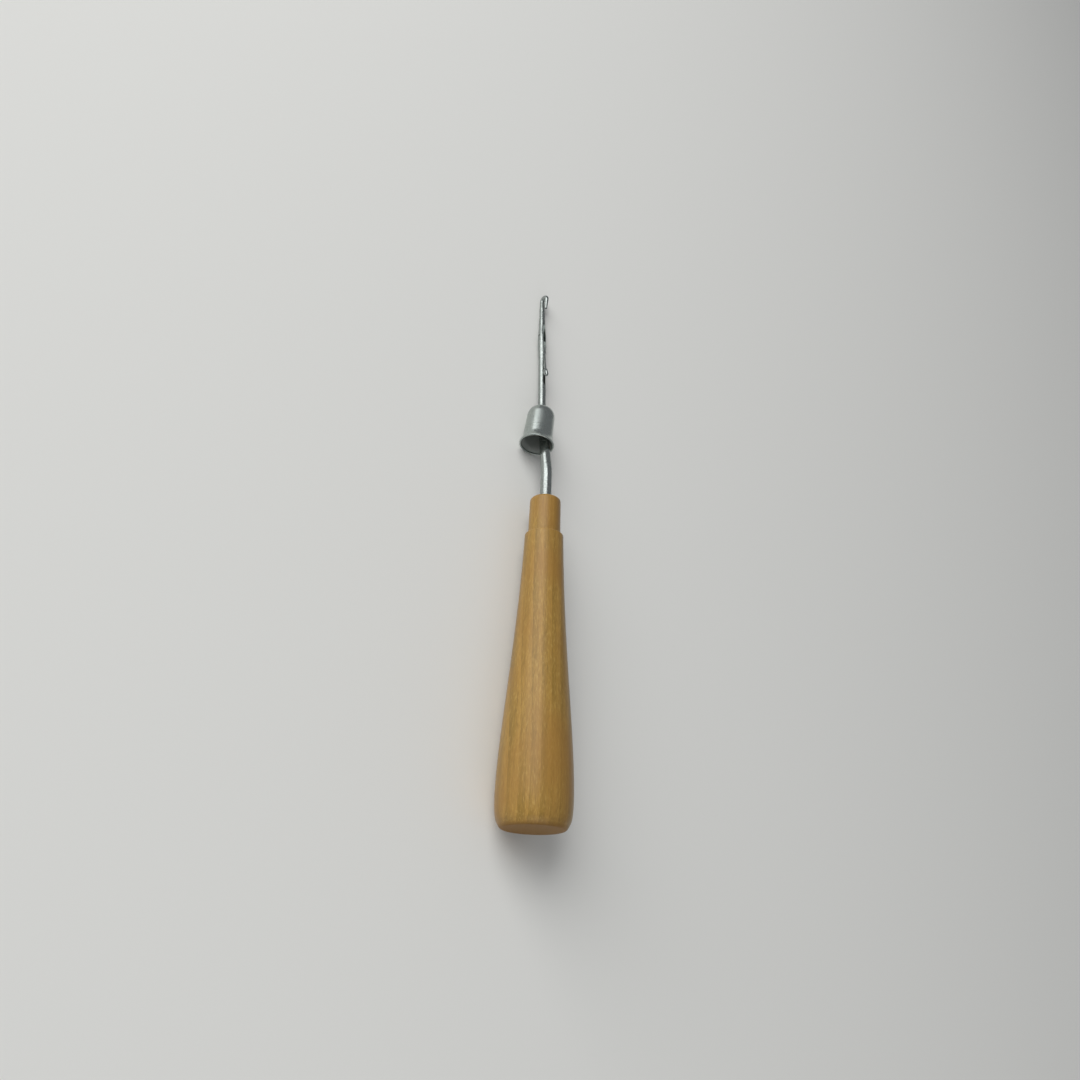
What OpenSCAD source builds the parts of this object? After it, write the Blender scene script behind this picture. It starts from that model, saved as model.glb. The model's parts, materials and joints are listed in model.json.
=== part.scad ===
// Latch hook for knotting rugs: a cranked steel needle with a hinged latch, driven into
// a turned wooden handle, and a thin bell ferrule that hangs loose on the shank.
// Distances "from the butt" run along the handle's axis. The hook opens upwards (+Z),
// points to +Y, and the tool lies on its belly, the back of its hook and the bell's rim.

/* [Handle] */
// Length of the wooden handle, butt to the front of its neck
handle_len = 92.7; // [85:0.1:100]
// Diameter at the widest ring
belly_d = 20.2; // [18:0.1:24]
// Widest ring, from the butt
belly_at = 7.7; // [6.5:0.1:12]
// Diameter of the flat on the butt
butt_flat_d = 15.8; // [12:0.2:17]
// Diameter where the butt's rounded edge runs out
butt_edge_d = 18.9; // [17:0.1:20]
// Distance from the butt of that same place
butt_edge_at = 1.8; // [1:0.1:3]
// Diameter of the shoulder behind the neck
shoulder_d = 10.9; // [10:0.1:12]
// Length of the turned neck
neck_len = 11.5; // [10:0.5:16]
// Diameter of the neck at the shoulder
neck_rear_d = 9.1; // [8.4:0.1:9.8]
// Diameter of the neck at its front
neck_front_d = 8.8; // [8:0.1:9]
// Radius of the edge at the front of the neck
neck_edge = 1; // [0.5:0.1:2]

/* [Shank] */
// Diameter of the shank where it leaves the wood
shank_d = 3.3; // [3:0.1:3.8]
// Length of the tang hidden in the handle
tang_len = 38; // [25:1:50]
// Start of the crank, from the butt
crank_at = 102; // [98:0.1:106]
// Length of the crank along the handle's axis
crank_run = 20; // [16:0.5:26]
// Fall of the crank below the handle's axis, in degrees
crank_angle = 9.7; // [5:0.1:14]
// Fall of the needle in front of the crank, in degrees
needle_angle = 3.1; // [0:0.1:5]
// Radius of both bends, at the middle of the wire
bend_r = 18; // [12:1:24]

/* [Needle] */
// Diameter of the needle in front of the crank
needle_d = 2.35; // [2:0.05:2.5]
// Diameter half-way along the slot
waist_d = 2.2; // [1.9:0.05:2.4]
// Centre of the latch rivet, from the butt
pivot_at = 149.7; // [145:0.1:155]
// Height of the rivet above the needle's axis
pivot_rise = 0.2; // [0:0.05:0.3]
// Diameter of the forged cheeks round the rivet
cheek_d = 2.6; // [2.3:0.05:2.8]
// Width across the flats of the cheeks
cheek_flats = 2.25; // [2:0.05:2.4]
// Length of these flats
cheek_len = 5.2; // [4:0.1:7]
// Width of the sawn slot
slot_w = 0.7; // [0.6:0.05:0.8]
// Length of the slot behind the rivet
slot_back = 16.4; // [15:0.1:18]
// Length of the slot in front of the rivet
slot_front = 7.2; // [5:0.1:8]
// Depth of the slot below the needle's axis, under the rivet
slot_depth = 0.75; // [0.6:0.05:0.85]

/* [Hook] */
// Middle of the hook's arc, in front of the rivet
hook_at = 16.1; // [15.5:0.1:18]
// Distance between the stem and the beak, wire middle to middle
hook_gap = 2.3; // [2.2:0.05:3]
// Diameter of the wire in the arc
hook_wire_d = 1.36; // [1.1:0.02:1.5]
// Diameter of the stem under the beak's tip
throat_d = 1.66; // [1.4:0.02:1.8]
// Diameter of the stem in front of the slot
stem_d = 1.98; // [1.6:0.02:2.2]
// Length of the beak behind the arc
beak_len = 3.4; // [3:0.1:3.8]
// Diameter of the beak's rounded tip
beak_tip_d = 0.76; // [0.6:0.02:0.9]
// How far the beak leans in towards the stem, in degrees
beak_lean = 6; // [0:1:8]

/* [Latch] */
// Length of the latch, rivet to the end of its spoon
latch_len = 14; // [13.4:0.1:14.4]
// Thickness of the latch blade
latch_t = 0.55; // [0.45:0.05:0.55]
// Rise of the open latch over the needle's axis, in degrees
latch_rise = 8; // [7.2:0.1:9]
// Diameter of the eye round the rivet
eye_d = 1.5; // [1.4:0.05:1.6]
// Diameter of the rivet
rivet_d = 0.9; // [0.8:0.05:1]
// Length of the spoon
spoon_len = 3.5; // [3:0.1:4]
// Width of the spoon
spoon_w = 1.56; // [1.4:0.02:1.8]

/* [Ferrule] */
// Outer diameter of the mouth
mouth_d = 10.3; // [10:0.1:11]
// Outer diameter of the body where the mouth starts to flare
bell_d = 8.8; // [8:0.1:9]
// Outer diameter of the body behind the dome
dome_d = 8.3; // [7.4:0.1:8.5]
// Length of the dome
dome_len = 3; // [2:0.1:4]
// Length of the flared mouth
flare_len = 2.8; // [2:0.1:4]
// Diameter of the rolled rim's bead
bead_d = 0.56; // [0.5:0.02:0.7]
// Diameter of the hole that the shank passes through
bell_hole_d = 3.9; // [3.7:0.05:4]
// Thickness of the drawn sheet
bell_wall = 0.4; // [0.3:0.05:0.5]
// Middle of the mouth: from the butt, sideways and above the handle's axis
mouth_at = [111, -2.22, -2.43]; // [-5:0.01:125]
// Middle of the front: from the butt, sideways and above the handle's axis
front_at = [124.03, -0.29, -3.12]; // [-5:0.01:125]

/* [Rest] */
// Roll of the tool to the bell's side, where the bell's rim meets the floor, in degrees
rest_roll = 3.4; // [0:0.1:6]

/* [Hidden] */
$fn = 96;
wood = [0.72, 0.54, 0.3];
steel = [0.74, 0.76, 0.75];
nickel = [0.62, 0.64, 0.62];
eps = 0.01;

// Points of a cubic curve from a to d, pulled towards b and c, without a itself
function curve(a, b, c, d, t) =
    pow(1 - t, 3) * a + 3 * pow(1 - t, 2) * t * b + 3 * (1 - t) * t * t * c + t * t * t * d;
function curve_points(a, b, c, d, steps) =
    [for (i = [1 : steps]) curve(a, b, c, d, i / steps)];
// Value between a and b that starts and ends level
function ease(a, b, t) = a + (b - a) * (1 - cos(180 * t)) / 2;

// Outline of the handle as [distance from the butt, radius]; each pull is how far a curve
// keeps the direction of its end
shoulder_at = handle_len - neck_len;
shoulder_edge = 0.3;
edge_slope = 0.45;
butt_pull = 0.75;
edge_pull = 0.9;
swelling_pull = 2.6;
belly_pull = 16;
shoulder_pull = 34;
shoulder_slope = 0.03;
butt = [0, butt_flat_d / 2];
butt_edge = [butt_edge_at, butt_edge_d / 2];
belly = [belly_at, belly_d / 2];
shoulder = [shoulder_at - shoulder_edge, shoulder_d / 2];
rounding = curve_points(butt, butt + [0, butt_pull],
    butt_edge - edge_pull * [1, edge_slope], butt_edge, 6);
swelling = curve_points(butt_edge, butt_edge + [1, edge_slope], belly - [swelling_pull, 0], belly, 6);
flank = curve_points(belly, belly + [belly_pull, 0],
    shoulder - shoulder_pull * [1, -shoulder_slope], shoulder, 28);
neck_edge_points = [for (a = [90 : -15 : 0])
    [handle_len - neck_edge + neck_edge * cos(a), neck_front_d / 2 - neck_edge + neck_edge * sin(a)]];
handle_outline = concat([[0, 0], butt], rounding, swelling, flank,
    [[shoulder_at, shoulder_d / 2 - shoulder_edge], [shoulder_at, neck_rear_d / 2]],
    neck_edge_points, [[handle_len, 0]]);

// The crank's two bends, and the needle's frame with its origin at the rivet's station
bend_1 = bend_r * tan(crank_angle / 2);
bend_2 = bend_r * tan((crank_angle - needle_angle) / 2);
slope_len = crank_run / cos(crank_angle) - bend_1 - bend_2;
knee = [crank_at + crank_run, -crank_run * tan(crank_angle)];
needle_run = (pivot_at - knee[0]) / cos(needle_angle);
// Needle coordinates [along, up] to handle coordinates [from the butt, up]
function on_needle(p) = knee
    + (needle_run + p[0]) * [cos(needle_angle), -sin(needle_angle)]
    + p[1] * [sin(needle_angle), cos(needle_angle)];

// Radius of the needle at stations [in front of the rivet, radius], eased between them
cheek_half = 1.5;
needle_stations = [
    [-needle_run + bend_2, needle_d / 2], [-slot_back - 1, needle_d / 2],
    [-slot_back / 2, waist_d / 2], [-cheek_half, cheek_d / 2], [cheek_half, cheek_d / 2],
    [slot_front, stem_d / 2], [hook_at - beak_len, throat_d / 2], [hook_at, hook_wire_d / 2]];
needle_outline = concat([[needle_stations[0][0], 0]],
    [for (i = [0 : len(needle_stations) - 2], k = [0 : 4])
        let (a = needle_stations[i], b = needle_stations[i + 1])
        [a[0] + (b[0] - a[0]) * k / 5, ease(a[1], b[1], k / 5)]],
    [[hook_at, hook_wire_d / 2], [hook_at, 0]]);

// The tool rests on its belly and on the back of the hook's arc: the tilt of the line
// that touches both, found twice because the touching point on the belly moves with it
arc_mid = on_needle([hook_at, hook_gap / 2]);
arc_r = hook_gap / 2 * cos(rest_roll) + hook_wire_d / 2 + eps;
function lowest(tilt) = [for (p = handle_outline)
    if (p[0] * sin(tilt) + p[1] * cos(tilt) >= floor_drop(tilt) - 0.0001) p][0];
function floor_drop(tilt) = max([for (p = handle_outline) p[0] * sin(tilt) + p[1] * cos(tilt)]);
function tilt_on(p) =
    let (run = arc_mid[0] - p[0], fall = arc_mid[1] * cos(rest_roll) + p[1])
    atan2(fall, run) - asin(arc_r / norm([run, fall]));
rest_tilt = tilt_on(lowest(tilt_on(belly)));
rest_height = floor_drop(rest_tilt);
tip_at = arc_mid[0] * cos(rest_tilt) + arc_mid[1] * cos(rest_roll) * sin(rest_tilt)
    + (hook_gap + hook_wire_d) / 2 + eps;
middle = (tip_at - butt_flat_d / 2 * sin(rest_tilt)) / 2;

// Sets what is built along the handle's axis down on the floor, centred over the origin
module lay() {
    translate([0, -middle, rest_height]) rotate([-rest_tilt, 0, 0]) rotate([0, -rest_roll, 0])
        children();
}

// Turns an outline of [along, radius] points about the Y axis
module turned(outline) {
    rotate([-90, 0, 0]) rotate_extrude() polygon([for (p = outline) [p[1], p[0]]]);
}

// A straight run of round bar along +Y; children stand at its end
module bar(length, r1, r2) {
    rotate([-90, 0, 0]) cylinder(h = length, r1 = r1, r2 = r2);
    translate([0, length, 0]) children();
}

// A bend of round bar in the vertical plane, up for a positive angle; children follow it.
// It stands a hair proud of the straight bar, where the metal bulges as it is bent
module bend(angle, radius, wire_r) {
    side = sign(angle);
    translate([0, 0, side * radius]) {
        rotate([0, side * 90, 0])
            rotate_extrude(angle = abs(angle)) translate([radius, 0]) circle(r = wire_r + eps);
        rotate([angle, 0, 0]) translate([0, 0, -side * radius]) children();
    }
}

// Stands children on the needle's frame: +Y along the needle, origin at the rivet's station
module at_needle() {
    p = on_needle([0, 0]);
    translate([0, p[0], p[1]]) rotate([-needle_angle, 0, 0]) children();
}

// The straight shank from the point of its tang, deep in the handle, to where it is told
module tang(front) {
    root = handle_len - tang_len;
    point_len = 2.5;
    point_r = 0.4;
    turned([[root - point_len, 0], [root - point_len, point_r], [root, shank_d / 2],
        [front, shank_d / 2], [front, 0]]);
}

// The handle: turned and varnished hardwood with a blind hole for the tang
module handle() {
    color(wood) lay() difference() {
        turned(handle_outline);
        tang(handle_len + 1);
    }
}

// The sawn slot: deepest under the rivet, its floor running out at both ends
module slot() {
    over = cheek_d;
    back_end = 0.9;
    back_ramp = [1.6, 0.15];
    front_end = 0.72;
    floor_line = [[-slot_back, over], [-slot_back, back_end], [-slot_back + back_ramp[0], back_ramp[1]],
        [-eye_d, -slot_depth], [eye_d / 2, -slot_depth], [slot_front, front_end], [slot_front, over]];
    rotate([90, 0, 90]) translate([0, 0, -slot_w / 2]) linear_extrude(slot_w) polygon(floor_line);
}

// The hook and the beak that the latch closes on
module hook() {
    translate([0, hook_at - eps, 0]) bar(eps, hook_wire_d / 2, hook_wire_d / 2)
        bend(180 + beak_lean, hook_gap / 2, hook_wire_d / 2)
            bar(beak_len, hook_wire_d / 2, beak_tip_d / 2) sphere(d = beak_tip_d);
}

// The shank: tang, crank, slotted needle and hook, drawn from one steel wire
module hook_shank() {
    full_len = slope_len / 4;
    color(steel) lay() difference() {
        union() {
            tang(crank_at - bend_1);
            translate([0, crank_at - bend_1, 0]) bend(-crank_angle, bend_r, shank_d / 2)
                bar(full_len, shank_d / 2, shank_d / 2 - 3 * eps)
                    bar(slope_len - full_len, shank_d / 2 - 3 * eps, needle_d / 2)
                        bend(crank_angle - needle_angle, bend_r, needle_d / 2);
            at_needle() {
                turned(needle_outline);
                hook();
            }
        }
        at_needle() {
            slot();
            translate([0, 0, pivot_rise]) rotate([0, 90, 0])
                cylinder(d = rivet_d, h = cheek_d + 2, center = true);
            for (side = [-1, 1])
                translate([side * (cheek_flats / 2 + 1), 0, 0])
                    cube([2, cheek_len, 2 * cheek_d], center = true);
        }
    }
}

// The rivet that the latch swings on, headed flush with the cheeks
module latch_rivet() {
    color(steel) lay() at_needle() translate([0, 0, pivot_rise]) rotate([0, 90, 0])
        cylinder(d = rivet_d, h = cheek_flats, center = true);
}

// An egg of round section along the Y axis, blunter at its -Y end
module egg(half_len, half_width) {
    blunt = 0.2;
    turned([for (a = [-90 : 15 : 90])
        [half_len * sin(a), half_width * cos(a) * (1 - blunt * sin(a)) / (1 + blunt * blunt / 2)]]);
}

// The spoon: half an egg, dished and open at its end, where it closes over the beak's tip
module spoon() {
    wall = 0.26;
    shift = 0.35;
    lift = 0.1;
    lip = 0.22;
    difference() {
        translate([0, 0, lift]) egg(spoon_len / 2, spoon_w / 2);
        translate([0, -shift, 2 * lift]) egg(spoon_len / 2 - wall, spoon_w / 2 - wall);
        translate([0, 0, lip + spoon_w / 2]) cube([2 * spoon_w, 2 * spoon_len, spoon_w], center = true);
    }
}

// The latch: eye, tapering blade and spoon, lying open towards the handle
module latch() {
    spoon_grip = 0.6;
    neck_at = latch_len - spoon_len + spoon_grip;
    neck_top = 0.16;
    neck_under = -0.34;
    root_top = [-1, 0.5];
    root_under = [-1.6, -0.42];
    blade = [root_top, [-neck_at, neck_top], [-neck_at, neck_under], root_under];
    rivet_play = 0.04;
    color(steel) lay() at_needle() translate([0, 0, pivot_rise]) rotate([-latch_rise, 0, 0]) {
        difference() {
            rotate([90, 0, 90]) translate([0, 0, -latch_t / 2]) linear_extrude(latch_t) union() {
                circle(d = eye_d);
                polygon(concat([[0, eye_d / 2]], blade, [[0, -eye_d / 2]]));
            }
            rotate([0, 90, 0]) cylinder(r = rivet_d / 2 + rivet_play, h = 2 * latch_t, center = true);
        }
        translate([0, -latch_len + spoon_len / 2, 0]) spoon();
    }
}

// Direction and length of the bell, from its mouth to its front
bell_lean = front_at - mouth_at;
bell_len = norm(bell_lean);
crown_flat = 0.25;
crown_r = bell_hole_d / 2 + crown_flat;
dome_at = bell_len - dome_len;
// Outer or inner outline of the bell, mouth first, as [from the mouth, radius]
function bell_side(inset) = concat(
    [for (i = [0 : 6]) let (t = 1 - i / 6)
        [flare_len * (1 - t), bell_d / 2 + (mouth_d - bell_d) / 2 * (1 - cos(90 * t)) - inset]],
    [for (a = [0 : 10 : 90])
        [dome_at + (dome_len - inset) * sin(a), crown_r + (dome_d / 2 - crown_r - inset) * cos(a)]],
    [[bell_len - inset, bell_hole_d / 2]]);

// The bell ferrule: drawn sheet with a rolled rim, hung askew on the shank
module ferrule() {
    outer = bell_side(0);
    inner = bell_side(bell_wall);
    yaw = atan2(bell_lean[1], bell_lean[0]);
    pitch = atan2(bell_lean[2], norm([bell_lean[0], bell_lean[1]]));
    color(nickel) lay() translate([mouth_at[1], mouth_at[0], mouth_at[2]])
        rotate([0, 0, -yaw]) rotate([pitch, 0, 0]) rotate([-90, 0, 0]) rotate_extrude() {
            polygon([for (p = outer) [p[1], p[0]], for (i = [len(inner) - 1 : -1 : 0])
                [inner[i][1], inner[i][0]]]);
            translate([mouth_d / 2 - bead_d / 2 + 3 * eps, bead_d / 5]) circle(d = bead_d);
        }
}

handle();
hook_shank();
latch();
latch_rivet();
ferrule();
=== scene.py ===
import bmesh
import bpy
import json
import math
from mathutils import Matrix, Vector
from mathutils.geometry import interpolate_bezier


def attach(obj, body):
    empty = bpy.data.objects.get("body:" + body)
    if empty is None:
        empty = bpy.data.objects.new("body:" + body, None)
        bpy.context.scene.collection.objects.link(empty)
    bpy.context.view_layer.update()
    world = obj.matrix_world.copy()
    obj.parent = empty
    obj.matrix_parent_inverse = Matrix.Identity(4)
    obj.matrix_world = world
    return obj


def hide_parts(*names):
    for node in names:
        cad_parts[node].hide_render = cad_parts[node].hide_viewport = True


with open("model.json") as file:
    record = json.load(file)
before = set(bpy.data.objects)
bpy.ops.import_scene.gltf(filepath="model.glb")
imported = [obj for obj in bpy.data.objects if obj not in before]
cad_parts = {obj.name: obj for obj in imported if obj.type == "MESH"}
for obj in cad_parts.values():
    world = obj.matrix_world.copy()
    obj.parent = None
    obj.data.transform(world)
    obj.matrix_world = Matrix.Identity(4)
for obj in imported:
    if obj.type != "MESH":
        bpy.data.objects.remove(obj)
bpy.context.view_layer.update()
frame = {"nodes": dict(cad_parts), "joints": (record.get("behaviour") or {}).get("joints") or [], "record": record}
nodes = frame["nodes"]
mounts = {m["name"]: m for m in frame["record"]["mounts"]}
joints = {j["name"]: j for j in frame["joints"]}
mm = 0.001
poleRadius = 0.0001  # mm, where an outline meets its axis: the merge after the spin closes it
print("frame loaded:", len(nodes), "nodes")


def placeOf(origin, yAxis, xAxis):
    # Matrix that stands a thing at origin with its Y axis along yAxis and its X axis near xAxis
    y = Vector(yAxis).normalized()
    z = Vector(xAxis).cross(y).normalized()
    turn = Matrix([y.cross(z), y, z]).transposed().to_4x4()
    return Matrix.Translation(origin) @ turn


# The tool's own frame: +Y along the handle from the middle of the butt, +Z to the side where the
# hook opens. It lies on its belly, its hook and the bell's rim, so it is tilted a little.
toolPlace = placeOf(mounts["butt_face"]["pos_m"], -Vector(mounts["butt_face"]["axis"]),
                    -Vector(joints["latch_swing"]["axis"]))


def linearColour(hexColour):
    values = [int(hexColour[i:i + 2], 16) / 255 for i in (1, 3, 5)]
    return [v / 12.92 if v <= 0.04045 else ((v + 0.055) / 1.055) ** 2.4 for v in values] + [1.0]


def addNode(tree, kind, settings=None, links=None):
    # Settings go by property or by socket, and links by socket. A Mix node's sockets have numbers:
    # 0 is its factor, 2 and 3 are its two values, 6 and 7 its two colours.
    node = tree.nodes.new(kind)
    for name, value in (settings or {}).items():
        if name == "stops":  # both ends of a colour ramp: position, and a colour or a grey
            for element, (position, tone) in zip(node.color_ramp.elements, value):
                element.position = position
                element.color = linearColour(tone) if isinstance(tone, str) else (tone, tone, tone, 1)
        elif isinstance(name, str) and hasattr(node, name):
            setattr(node, name, value)
        elif isinstance(value, str):
            node.inputs[name].default_value = linearColour(value)
        else:
            node.inputs[name].default_value = value
    for name, socket in (links or {}).items():
        tree.links.new(socket, node.inputs[name])
    return node


def newMaterial(name):
    material = bpy.data.materials.new(name)
    material.use_nodes = True
    material.node_tree.nodes.clear()
    return material, material.node_tree


def millimetres(tree, place):
    # Object coordinates in millimetres, counted in the frame that place stands for
    coordinates = addNode(tree, "ShaderNodeTexCoord")
    centred = addNode(tree, "ShaderNodeMapping", {
        "vector_type": "TEXTURE",
        "Location": place.to_translation(), "Rotation": place.to_euler(),
        "Scale": (mm, mm, mm)}, {"Vector": coordinates.outputs["Object"]})
    return centred.outputs["Vector"]


# Photograph's viewpoint, in the tool's own frame: from above its left side and behind the butt,
# with the tool nearly upright in the picture and the hook's opening turned to the right
cameraSetup = {
    "place": (-157.72, -43.05, 214.95),  # mm
    "aim": (2.54, 82.53, -5.38),  # mm, in the middle of the picture
    "up": (-0.278, 0.907, 0.315),
    "lens": 34.67,
    "sensor": 36.0,
    "clip": (0.01, 20),  # m
}


def makeCamera():
    s = cameraSetup
    data = bpy.data.cameras.new("camera")
    data.lens, data.sensor_width = s["lens"], s["sensor"]
    data.clip_start, data.clip_end = s["clip"]
    camera = bpy.data.objects.new("camera", data)
    bpy.context.scene.collection.objects.link(camera)
    back = (Vector(s["place"]) - Vector(s["aim"])).normalized()
    right = Vector(s["up"]).cross(back).normalized()
    turn = Matrix([right, back.cross(right), back]).transposed().to_4x4()
    camera.matrix_world = toolPlace @ Matrix.Translation(Vector(s["place"]) * mm) @ turn
    bpy.context.scene.camera = camera


makeCamera()
print("camera placed")

woodSettings = {
    "earlyWood": "#a07b37", "lateWood": "#896a29",
    "darkFleck": "#664e22", "paleFleck": "#c2a45d",
    "blush": "#8f672a", "endGrain": "#80591c",
    "pith": (31, 0, 24),  # middle of the tree, mm from the handle's axis
    "ringSpacing": 2.6,  # mm
    "fibre": (1.9, 0.07, 1.9), "grain": (3.4, 0.55, 3.4), "band": (0.42, 0.012, 0.42),  # per mm
    "patch": 0.07,  # per mm
    "bandShare": 0.72, "fibreShare": 0.5,
    "darkFlecks": [(0.30, 0.32), (0.46, 0.0)], "paleFlecks": [(0.54, 0.0), (0.70, 0.3)],
    "blushPatches": [(0.42, 0.0), (0.66, 0.55)],
    "endShare": 0.8,
    "endDepth": (0.05, 1.1),  # mm from the butt: all end grain as far as the first, none past the second
    "varnish": (0.06, 0.6),  # coat on the butt and on the flanks
    "varnishRoughness": 0.36,
    "fibreRelief": 0.03, "varnishRelief": 0.02,  # mm
}
waveLength = 0.314  # from ring to ring of a wave texture at scale 1


def varnishedBeech():
    # Varnished beech: a warm brown wood with soft lengthwise bands, fine fibres and a dense grain
    # of short pale and dark flecks, under a thin satin varnish that spreads the light over its flank
    s = woodSettings
    material, tree = newMaterial("varnished_beech")
    place = millimetres(tree, toolPlace)
    # Growth rings, blurred by long soft bands
    fromPith = addNode(tree, "ShaderNodeVectorMath", {"operation": "SUBTRACT", 1: s["pith"]}, {0: place})
    rings = addNode(tree, "ShaderNodeTexWave", {
        "wave_type": "RINGS", "rings_direction": "Y", "wave_profile": "SAW",
        "Scale": waveLength / s["ringSpacing"], "Distortion": 3.0, "Detail": 2.0,
        "Detail Scale": 0.08, "Detail Roughness": 0.5}, {"Vector": fromPith.outputs[0]})
    bandRoom = addNode(tree, "ShaderNodeMapping", {"Scale": s["band"]}, {"Vector": place})
    bands = addNode(tree, "ShaderNodeTexNoise", {"Scale": 1.0, "Detail": 2.0, "Roughness": 0.6},
                    {"Vector": bandRoom.outputs[0]})
    growth = addNode(tree, "ShaderNodeMix", {"data_type": "FLOAT", 0: s["bandShare"]},
                     {2: rings.outputs["Fac"], 3: bands.outputs["Fac"]})
    growthTone = addNode(tree, "ShaderNodeValToRGB", {
        "stops": [(0.36, s["earlyWood"]), (0.68, s["lateWood"])]}, {"Fac": growth.outputs[0]})
    # Fibres are 0.05 mm wide in beech: drawn 0.5 mm wide, so that they show
    fibreRoom = addNode(tree, "ShaderNodeMapping", {"Scale": s["fibre"]}, {"Vector": place})
    fibres = addNode(tree, "ShaderNodeTexNoise", {"Scale": 1.0, "Detail": 4.0, "Roughness": 0.62},
                     {"Vector": fibreRoom.outputs[0]})
    fibreTone = addNode(tree, "ShaderNodeValToRGB", {"stops": [(0.3, 0.66), (0.72, 1.2)]},
                        {"Fac": fibres.outputs["Fac"]})
    fibred = addNode(tree, "ShaderNodeMix", {
        "data_type": "RGBA", "blend_type": "MULTIPLY", 0: s["fibreShare"]},
        {6: growthTone.outputs[0], 7: fibreTone.outputs[0]})
    # Ray flecks, about 0.3 by 1.5 mm: dark at one end of the noise, pale at the other
    grainRoom = addNode(tree, "ShaderNodeMapping", {"Scale": s["grain"]}, {"Vector": place})
    grain = addNode(tree, "ShaderNodeTexNoise", {"Scale": 1.0, "Detail": 2.0, "Roughness": 0.55},
                    {"Vector": grainRoom.outputs[0]})
    darkMask = addNode(tree, "ShaderNodeValToRGB", {"stops": s["darkFlecks"]},
                       {"Fac": grain.outputs["Fac"]})
    paleMask = addNode(tree, "ShaderNodeValToRGB", {"stops": s["paleFlecks"]},
                       {"Fac": grain.outputs["Fac"]})
    darkened = addNode(tree, "ShaderNodeMix", {"data_type": "RGBA", 7: s["darkFleck"]},
                       {0: darkMask.outputs[0], 6: fibred.outputs[2]})
    flecked = addNode(tree, "ShaderNodeMix", {"data_type": "RGBA", 7: s["paleFleck"]},
                      {0: paleMask.outputs[0], 6: darkened.outputs[2]})
    # Broad patches of redder wood
    patches = addNode(tree, "ShaderNodeTexNoise", {"Scale": s["patch"], "Detail": 2.0}, {"Vector": place})
    patchMask = addNode(tree, "ShaderNodeValToRGB", {"stops": s["blushPatches"]},
                        {"Fac": patches.outputs["Fac"]})
    coloured = addNode(tree, "ShaderNodeMix", {"data_type": "RGBA", 7: s["blush"]},
                       {0: patchMask.outputs[0], 6: flecked.outputs[2]})
    # End grain drinks the varnish: darker and duller on the butt
    along = addNode(tree, "ShaderNodeSeparateXYZ", links={"Vector": place})
    endMask = addNode(tree, "ShaderNodeMapRange", {
        "From Min": s["endDepth"][0], "From Max": s["endDepth"][1],
        "To Min": s["endShare"], "To Max": 0.0}, {"Value": along.outputs["Y"]})
    ended = addNode(tree, "ShaderNodeMix", {"data_type": "RGBA", 7: s["endGrain"]},
                    {0: endMask.outputs[0], 6: coloured.outputs[2]})
    varnish = addNode(tree, "ShaderNodeMapRange", {
        "From Min": s["endDepth"][0], "From Max": s["endDepth"][1],
        "To Min": s["varnish"][0], "To Max": s["varnish"][1]}, {"Value": along.outputs["Y"]})
    relief = addNode(tree, "ShaderNodeBump", {"Strength": 0.35, "Distance": s["fibreRelief"] * mm},
                     {"Height": fibres.outputs["Fac"]})
    varnishRelief = addNode(tree, "ShaderNodeBump", {
        "Strength": 0.3, "Distance": s["varnishRelief"] * mm}, {"Height": grain.outputs["Fac"]})
    shader = addNode(tree, "ShaderNodeBsdfPrincipled", {
        "Roughness": 0.55, "Specular IOR Level": 0.3,
        "Coat Roughness": s["varnishRoughness"], "Coat IOR": 1.5},
        {"Base Color": ended.outputs[2], "Coat Weight": varnish.outputs[0],
         "Normal": relief.outputs[0], "Coat Normal": varnishRelief.outputs[0]})
    addNode(tree, "ShaderNodeOutputMaterial", links={"Surface": shader.outputs[0]})
    return material


# The bell's own frame: +Y from its mouth to its front, where the shank passes through. Its radii
# and lengths are in millimetres.
bellSettings = {
    "mouthAt": (-2.22, 111.0, -2.43), "frontAt": (-0.29, 124.03, -3.12),  # mm in the tool's frame
    "mouth": 5.15, "body": 4.4, "dome": 4.15, "crown": 2.2, "hole": 1.95, "holeEdge": 0.08,
    "flareLength": 2.8, "domeLength": 3.0, "wall": 0.4,
    "bead": 0.28, "beadPlace": (0.112, 4.9), "beadTurn": (290, 70), "beadEnd": 0.5,
    "flareSteps": 10, "domeSteps": 15, "beadSteps": 14, "steps": 96,
}
bellAxis = Vector(bellSettings["frontAt"]) - Vector(bellSettings["mouthAt"])
bellPlace = toolPlace @ placeOf(Vector(bellSettings["mouthAt"]) * mm, bellAxis, (1, 0, 0))

# Finishes of the metal pieces: roughness from and to, lines and specks per mm, relief in mm
wireSettings = {
    "bright": "#abb1ae", "dull": "#8b918e", "roughness": (0.2, 0.29),
    "lines": (5.0, 0.06, 5.0), "specks": 2.2, "relief": 0.0025,
}
latchSettings = {
    "bright": "#c2c8c5", "dull": "#999f9c", "roughness": (0.2, 0.3),
    "lines": (3.0, 0.5, 3.0), "specks": 3.0, "relief": 0.004,
}
bellSkinSettings = {
    "bright": "#b1b8b4", "dull": "#a5aca8", "roughness": (0.25, 0.30),
    "lines": (0.06, 6.0, 0.06), "specks": 1.4, "relief": 0.002,
    # inner: the inner wall's paler grey, painted light that lifts the shade inside the bell
    "inner": "#b4b8b3", "innerRoughness": 0.5, "innerMetallic": 0.4,
}


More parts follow.
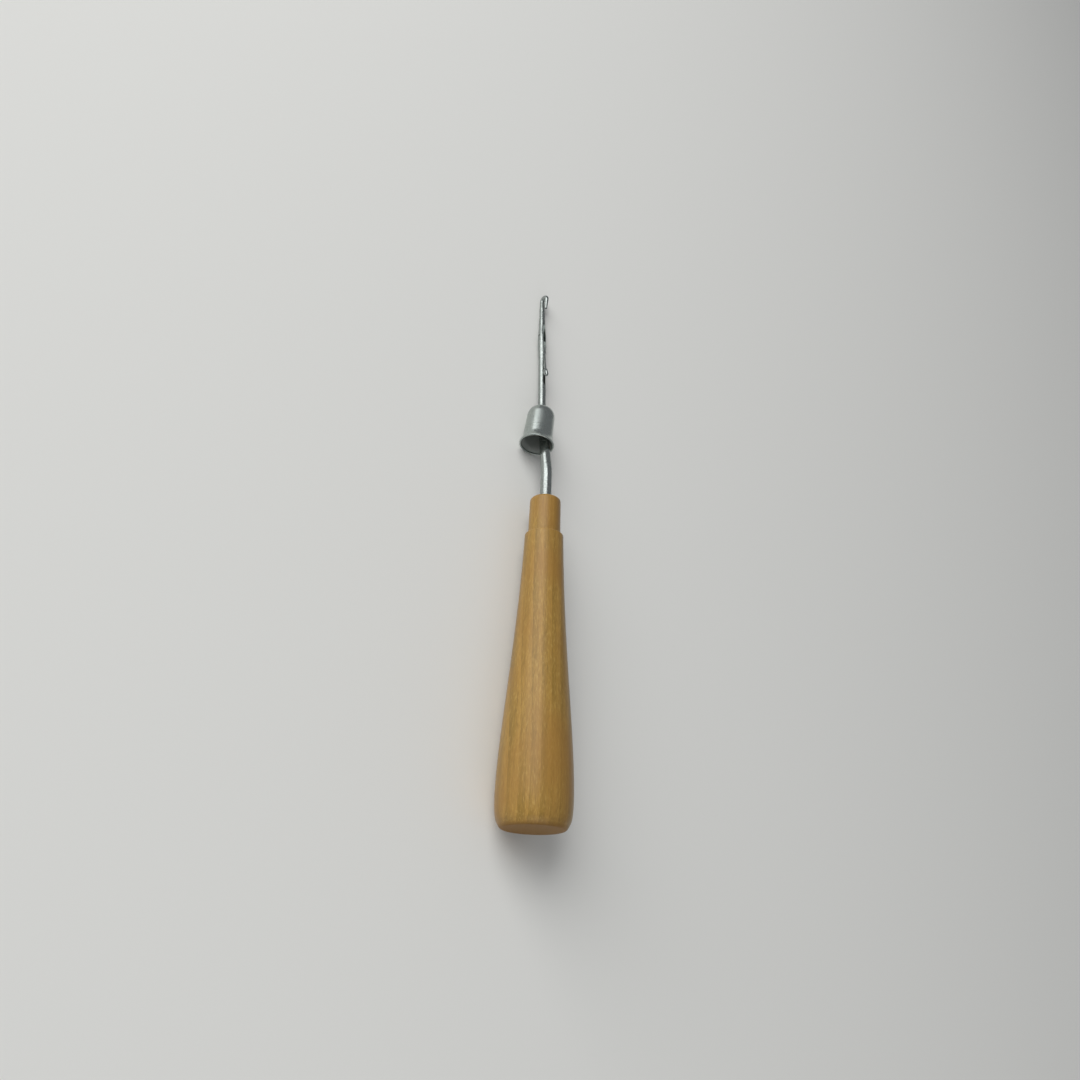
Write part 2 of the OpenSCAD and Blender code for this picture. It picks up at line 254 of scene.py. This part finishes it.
def platedMetal(name, s, place):
    material, tree = newMaterial(name)
    place = millimetres(tree, place)
    lineRoom = addNode(tree, "ShaderNodeMapping", {"Scale": s["lines"]}, {"Vector": place})
    lines = addNode(tree, "ShaderNodeTexNoise", {"Scale": 1.0, "Detail": 3.0, "Roughness": 0.6},
                    {"Vector": lineRoom.outputs[0]})
    specks = addNode(tree, "ShaderNodeTexNoise", {
        "Scale": s["specks"], "Detail": 2.0, "Roughness": 0.6}, {"Vector": place})
    cloud = addNode(tree, "ShaderNodeTexNoise", {"Scale": 0.22, "Detail": 2.0}, {"Vector": place})
    marks = addNode(tree, "ShaderNodeMix", {"data_type": "FLOAT", 0: 0.5},
                    {2: lines.outputs["Fac"], 3: specks.outputs["Fac"]})
    tone = addNode(tree, "ShaderNodeValToRGB", {"stops": [(0.38, s["dull"]), (0.56, s["bright"])]},
                   {"Fac": marks.outputs[0]})
    rough = addNode(tree, "ShaderNodeMapRange", {
        "From Min": 0.35, "From Max": 0.65,
        "To Min": s["roughness"][0], "To Max": s["roughness"][1]}, {"Value": cloud.outputs["Fac"]})
    relief = addNode(tree, "ShaderNodeBump", {"Strength": 0.5, "Distance": s["relief"] * mm},
                     {"Height": marks.outputs[0]})
    finish = {
        "Base Color": tone.outputs[0], "Roughness": rough.outputs[0], "Normal": relief.outputs[0],
    }
    if "inner" in s:
        # Walls marked as inner were never polished: a duller grey that scatters the light, made paler as painted
        # light that lifts the shade inside the bell
        inner = addNode(tree, "ShaderNodeAttribute", {"attribute_name": "inner"})
        skin = addNode(tree, "ShaderNodeMix", {"data_type": "RGBA", 7: s["inner"]},
                       {0: inner.outputs["Fac"], 6: tone.outputs[0]})
        dullness = addNode(tree, "ShaderNodeMix", {"data_type": "FLOAT", 3: s["innerRoughness"]},
                           {0: inner.outputs["Fac"], 2: rough.outputs[0]})
        metal = addNode(tree, "ShaderNodeMapRange", {"To Min": 1.0, "To Max": s["innerMetallic"]},
                        {"Value": inner.outputs["Fac"]})
        finish["Base Color"] = skin.outputs[2]
        finish["Roughness"] = dullness.outputs[0]
        finish["Metallic"] = metal.outputs[0]
    shader = addNode(tree, "ShaderNodeBsdfPrincipled", {"Metallic": 1.0}, finish)
    addNode(tree, "ShaderNodeOutputMaterial", links={"Surface": shader.outputs[0]})
    return material


beech = varnishedBeech()
# Bright drawn wire, hair lines along it and a few duller specks: gives the needle its long streaks
wireNickel = platedMetal("nickel_plated_wire", wireSettings, toolPlace)
# Small stamped parts, tumbled before plating: a touch paler than the wire, their marks softer
stampedNickel = platedMetal("nickel_plated_stamping", latchSettings, toolPlace)
# Satin nickel over spun sheet, its fine rings turned round the bell: an even grey, softly lit
spunNickel = platedMetal("satin_nickel_spun_sheet", bellSkinSettings, bellPlace)
print("materials made")


def finishPiece(mesh, name, body, material, place=None, sharpAngle=35):
    # Turns a bmesh into a piece in its place, smooth but for the edges sharper than the angle
    if place:
        bmesh.ops.transform(mesh, matrix=place, verts=mesh.verts)
    for face in mesh.faces:
        face.smooth = True
    for edge in mesh.edges:
        edge.smooth = edge.calc_face_angle(0) < math.radians(sharpAngle)
    data = bpy.data.meshes.new(name)
    mesh.to_mesh(data)
    mesh.free()
    piece = bpy.data.objects.new(name, data)
    bpy.context.scene.collection.objects.link(piece)
    data.materials.append(material)
    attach(piece, body)
    return piece


def putInOrder(elements, key):
    ranks = {element: rank for rank, element in enumerate(sorted(elements, key=key))}
    elements.sort(key=ranks.get)
    elements.index_update()


def turnedMesh(outline, steps, closed=False):
    # Spins an outline of (along, radius) points in millimetres once round the Y axis
    mesh = bmesh.new()
    points = [mesh.verts.new((radius * mm, along * mm, 0)) for along, radius in outline]
    edges = [mesh.edges.new(pair) for pair in zip(points, points[1:])]
    if closed:
        edges.append(mesh.edges.new((points[-1], points[0])))
    bmesh.ops.spin(mesh, geom=points + edges, cent=(0, 0, 0), axis=(0, 1, 0),
                   angle=2 * math.pi, steps=steps, use_merge=True)
    bmesh.ops.remove_doubles(mesh, verts=mesh.verts, dist=5 * poleRadius * mm)
    bmesh.ops.recalc_face_normals(mesh, faces=mesh.faces)
    # The merge leaves everything in a chance order: sorted, it is the same in every run
    putInOrder(mesh.verts, lambda vert: tuple(vert.co))
    putInOrder(mesh.edges, lambda edge: sorted(vert.index for vert in edge.verts))
    putInOrder(mesh.faces, lambda face: sorted(vert.index for vert in face.verts))
    return mesh


def arcPoints(centre, radius, start, end, steps):
    angles = [math.radians(start + (end - start) * i / steps) for i in range(steps + 1)]
    return [(centre[0] + radius * math.cos(a), centre[1] + radius * math.sin(a)) for a in angles]


def curvePoints(curve, steps):
    # Points on a curve given as its start, two pulls and its end
    return [tuple(p) for p in interpolate_bezier(*[Vector(c) for c in curve], steps)]


# Handle, in millimetres: lengths from the butt, radii, and curves of (along, radius)
handleSettings = {
    "length": 92.7, "neckLength": 11.5,
    "buttRings": (2.5, 6.4),
    "buttRoll": ((0, 7.9), (0, 8.65), (1.0, 9.05), (1.8, 9.45)),
    "swell": ((1.8, 9.45), (2.8, 9.9), (5.1, 10.1), (7.7, 10.1)),
    "taper": ((7.7, 10.1), (23.7, 10.1), (46.9, 6.45), (80.9, 5.45)),
    "shoulder": 5.45, "shoulderEdge": 0.3, "shoulderRoot": 0.15,
    "neckRear": 4.55, "neckFront": 4.4, "neckEdge": 1.0,
    "bore": 1.66, "boreDepth": 8.0, "boreLip": 0.3,
    "rollSteps": 9, "taperSteps": 64, "neckSteps": 12, "edgeSteps": 4, "steps": 128,
}


def makeHandle():
    s = handleSettings
    length, neckLength = s["length"], s["neckLength"]
    shoulderAt = length - neckLength
    outline = [(0, radius) for radius in (poleRadius, *s["buttRings"])]
    outline += curvePoints(s["buttRoll"], s["rollSteps"])
    outline += curvePoints(s["swell"], s["rollSteps"])[1:]
    outline += curvePoints(s["taper"], s["taperSteps"])[1:]
    # Shoulder: a broken edge, then a small hollow at the neck's root
    edge, root = s["shoulderEdge"], s["shoulderRoot"]
    outline += arcPoints((shoulderAt - edge, s["shoulder"] - edge), edge, 70, 0, s["edgeSteps"])
    outline += arcPoints((shoulderAt + root, s["neckRear"] + root), root, 180, 270, s["edgeSteps"])
    # Neck, as far as its rounded front edge
    for k in range(1, s["neckSteps"] - 1):
        share = k / s["neckSteps"]
        radius = s["neckRear"] + (s["neckFront"] - s["neckRear"]) * share
        outline.append((shoulderAt + neckLength * share, radius))
    edge = s["neckEdge"]
    outline += arcPoints((length - edge, s["neckFront"] - edge), edge, 90, 0, 2 * s["edgeSteps"])
    # Hole for the shank, with the lip that the tang broke
    outline += [(length, s["bore"] + s["boreLip"]), (length - s["boreLip"], s["bore"]),
                (length - s["boreDepth"], s["bore"]), (length - s["boreDepth"], poleRadius)]
    handle = finishPiece(turnedMesh(outline, s["steps"]), "turned_handle", "tool", beech,
                         toolPlace)
    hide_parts("handle")


makeHandle()
print("handle turned")


def smoothCopy(node, name, body, material):
    # The CAD solid's own surface, its loose triangles joined so that round faces shade smoothly
    mesh = bmesh.new()
    mesh.from_mesh(nodes[node].data)
    bmesh.ops.remove_doubles(mesh, verts=mesh.verts, dist=0.001 * mm)
    piece = finishPiece(mesh, name, body, material, sharpAngle=32)
    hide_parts(node)


smoothCopy("hook_shank", "hook_and_shank", "tool", wireNickel)
smoothCopy("latch", "swing_latch", "latch", stampedNickel)
print("needle and latch finished")

# Rivet, in millimetres, with heads peened a little proud of the cheeks
rivetSettings = {
    "radius": 0.45, "halfLength": 1.125,
    "head": 0.07, "headAngles": (20, 40, 60, 80, 90),
    "steps": 32,
}


def makeRivet():
    s = rivetSettings
    hinge = joints["latch_swing"]
    outline = [(-s["halfLength"] - s["head"], poleRadius)]
    for angle in map(math.radians, s["headAngles"]):
        outline.append((-s["halfLength"] - s["head"] * math.cos(angle), s["radius"] * math.sin(angle)))
    outline += [(-along, radius) for along, radius in reversed(outline)]
    toolUp = toolPlace.to_3x3() @ Vector((0, 0, 1))
    place = placeOf(hinge["pos_m"], hinge["axis"], toolUp)
    rivet = finishPiece(turnedMesh(outline, s["steps"]), "peened_rivet", "tool",
                        stampedNickel, place)
    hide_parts("latch_rivet")


makeRivet()
print("rivet headed")


def bellOutline(inset):
    # Side of the bell from its mouth to its crown, as (from the mouth, radius), less the inset
    s = bellSettings
    points = []
    for k in range(s["flareSteps"] + 1):
        share = k / s["flareSteps"]
        widening = (s["mouth"] - s["body"]) * (1 - math.cos(math.pi / 2 * (1 - share)))
        points.append((s["flareLength"] * share, s["body"] + widening - inset))
    domeAt = bellAxis.length - s["domeLength"]
    for k in range(s["domeSteps"] + 1):
        angle = math.pi / 2 * k / s["domeSteps"]
        points.append((domeAt + (s["domeLength"] - inset) * math.sin(angle),
                       s["crown"] + (s["dome"] - s["crown"] - inset) * math.cos(angle)))
    return points


def makeBell():
    s = bellSettings
    front, back = bellAxis.length, bellAxis.length - s["wall"]
    hole, holeEdge = s["hole"], s["holeEdge"]
    outline = arcPoints(s["beadPlace"], s["bead"], *s["beadTurn"], s["beadSteps"])
    outline += [p for p in bellOutline(0) if p[0] > s["beadEnd"]]
    outline += [(front, hole + holeEdge), (front - holeEdge, hole),
                (back + holeEdge, hole), (back, hole + holeEdge)]
    outline += [p for p in reversed(bellOutline(s["wall"])) if p[0] > s["beadEnd"]]
    mesh = turnedMesh(outline, s["steps"], closed=True)
    # Mark the inner wall, which looks toward the axis, for its own duller finish and its paler grey, painted light
    # against the shade inside the bell
    mesh.normal_update()
    inner = mesh.verts.layers.float.new("inner")
    for vert in mesh.verts:
        towardAxis = -vert.co.x * vert.normal.x - vert.co.z * vert.normal.z
        vert[inner] = float(towardAxis > 0 and vert.co.y > s["bead"] * mm)
    bell = finishPiece(mesh, "spun_bell", "bell", spunNickel, bellPlace)
    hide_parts("ferrule")


makeBell()
print("bell spun")

# Plain pale floor and soft studio light, in metres and watts; all lamps look at the origin. The
# metal mirrors the softbox as one soft streak, and the fill, but not the wide window light.
studioSettings = {
    "floor": "#e2e2de", "floorSize": 3.0,
    "world": "#f4f6fa", "worldStrength": 0.26,
    "lamps": {
        "softbox": {"place": (-0.85, 0.67, 0.6), "size": (0.74, 1.44), "power": 7.4, "mirrored": True},
        "fill": {"place": (-0.1, -0.6, 0.3), "size": (0.6, 0.4), "power": 0.8, "mirrored": True},
        "window": {"place": (-0.96, 0.67, 0.72), "size": (1.28, 1.28), "power": 14.0, "mirrored": False},
    },
}


def makeFloor():
    s = studioSettings
    mesh = bmesh.new()
    bmesh.ops.create_grid(mesh, x_segments=1, y_segments=1, size=s["floorSize"] / 2)
    data = bpy.data.meshes.new("floor")
    mesh.to_mesh(data)
    mesh.free()
    floor = bpy.data.objects.new("floor", data)
    bpy.context.scene.collection.objects.link(floor)
    # Matt pale board: even and without gloss, so that only the tool's shadow shows on it
    material, tree = newMaterial("matt_pale_board")
    shader = addNode(tree, "ShaderNodeBsdfPrincipled", {"Base Color": s["floor"], "Roughness": 0.8})
    addNode(tree, "ShaderNodeOutputMaterial", links={"Surface": shader.outputs[0]})
    data.materials.append(material)


def makeLight():
    s = studioSettings
    world = bpy.data.worlds.new("soft_daylight")
    world.use_nodes = True
    tree = world.node_tree
    tree.nodes.clear()
    glow = addNode(tree, "ShaderNodeBackground", {"Color": s["world"], "Strength": s["worldStrength"]})
    addNode(tree, "ShaderNodeOutputWorld", links={"Surface": glow.outputs[0]})
    bpy.context.scene.world = world
    for name, lamp in s["lamps"].items():
        light = bpy.data.lights.new(name, "AREA")
        light.shape = "RECTANGLE"
        light.energy = lamp["power"]
        light.size, light.size_y = lamp["size"]
        holder = bpy.data.objects.new(name, light)
        bpy.context.scene.collection.objects.link(holder)
        holder.location = lamp["place"]
        holder.rotation_mode = "QUATERNION"
        holder.rotation_quaternion = (-Vector(lamp["place"])).to_track_quat("-Z", "Y")
        holder.visible_glossy = lamp["mirrored"]


makeFloor()
makeLight()
bpy.context.scene.view_settings.view_transform = "Standard"
print("studio lit")
